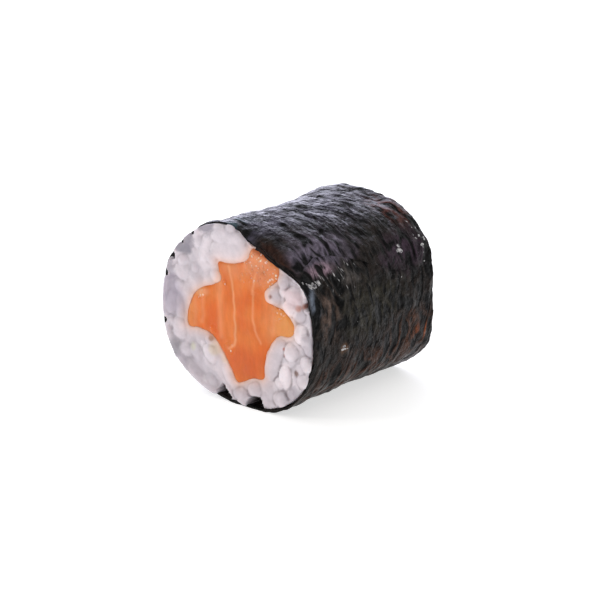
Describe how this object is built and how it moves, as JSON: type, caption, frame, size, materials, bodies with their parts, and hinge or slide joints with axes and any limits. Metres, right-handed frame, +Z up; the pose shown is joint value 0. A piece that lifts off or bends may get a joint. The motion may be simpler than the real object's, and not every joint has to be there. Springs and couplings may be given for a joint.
{
  "type": "salmon hosomaki",
  "caption": "Cut piece of thin sushi roll on its side: toasted nori wound round sticky rice, with a strip of raw salmon running through to both cuts.",
  "frame": {"origin": "on the surface the piece rests on, under the middle of its bounding box", "axes": "+Y along the roll's axis, from the shown cut at -Y to the far cut at +Y; +Z up; +X to the right as the shown cut is faced"},
  "size_m": [0.0268, 0.0278, 0.0253],
  "materials": {
    "nori": "toasted seaweed sheet, fine fibrous crinkle, low sheen",
    "rice": "moist cooked short-grain rice, translucent and softly glossy",
    "salmon": "raw salmon, wet cut face with pale fat lines"
  },
  "bodies": {
    "root": {"nori": "nori", "rice": "rice", "salmon": "salmon"}
  },
  "joints": []
}
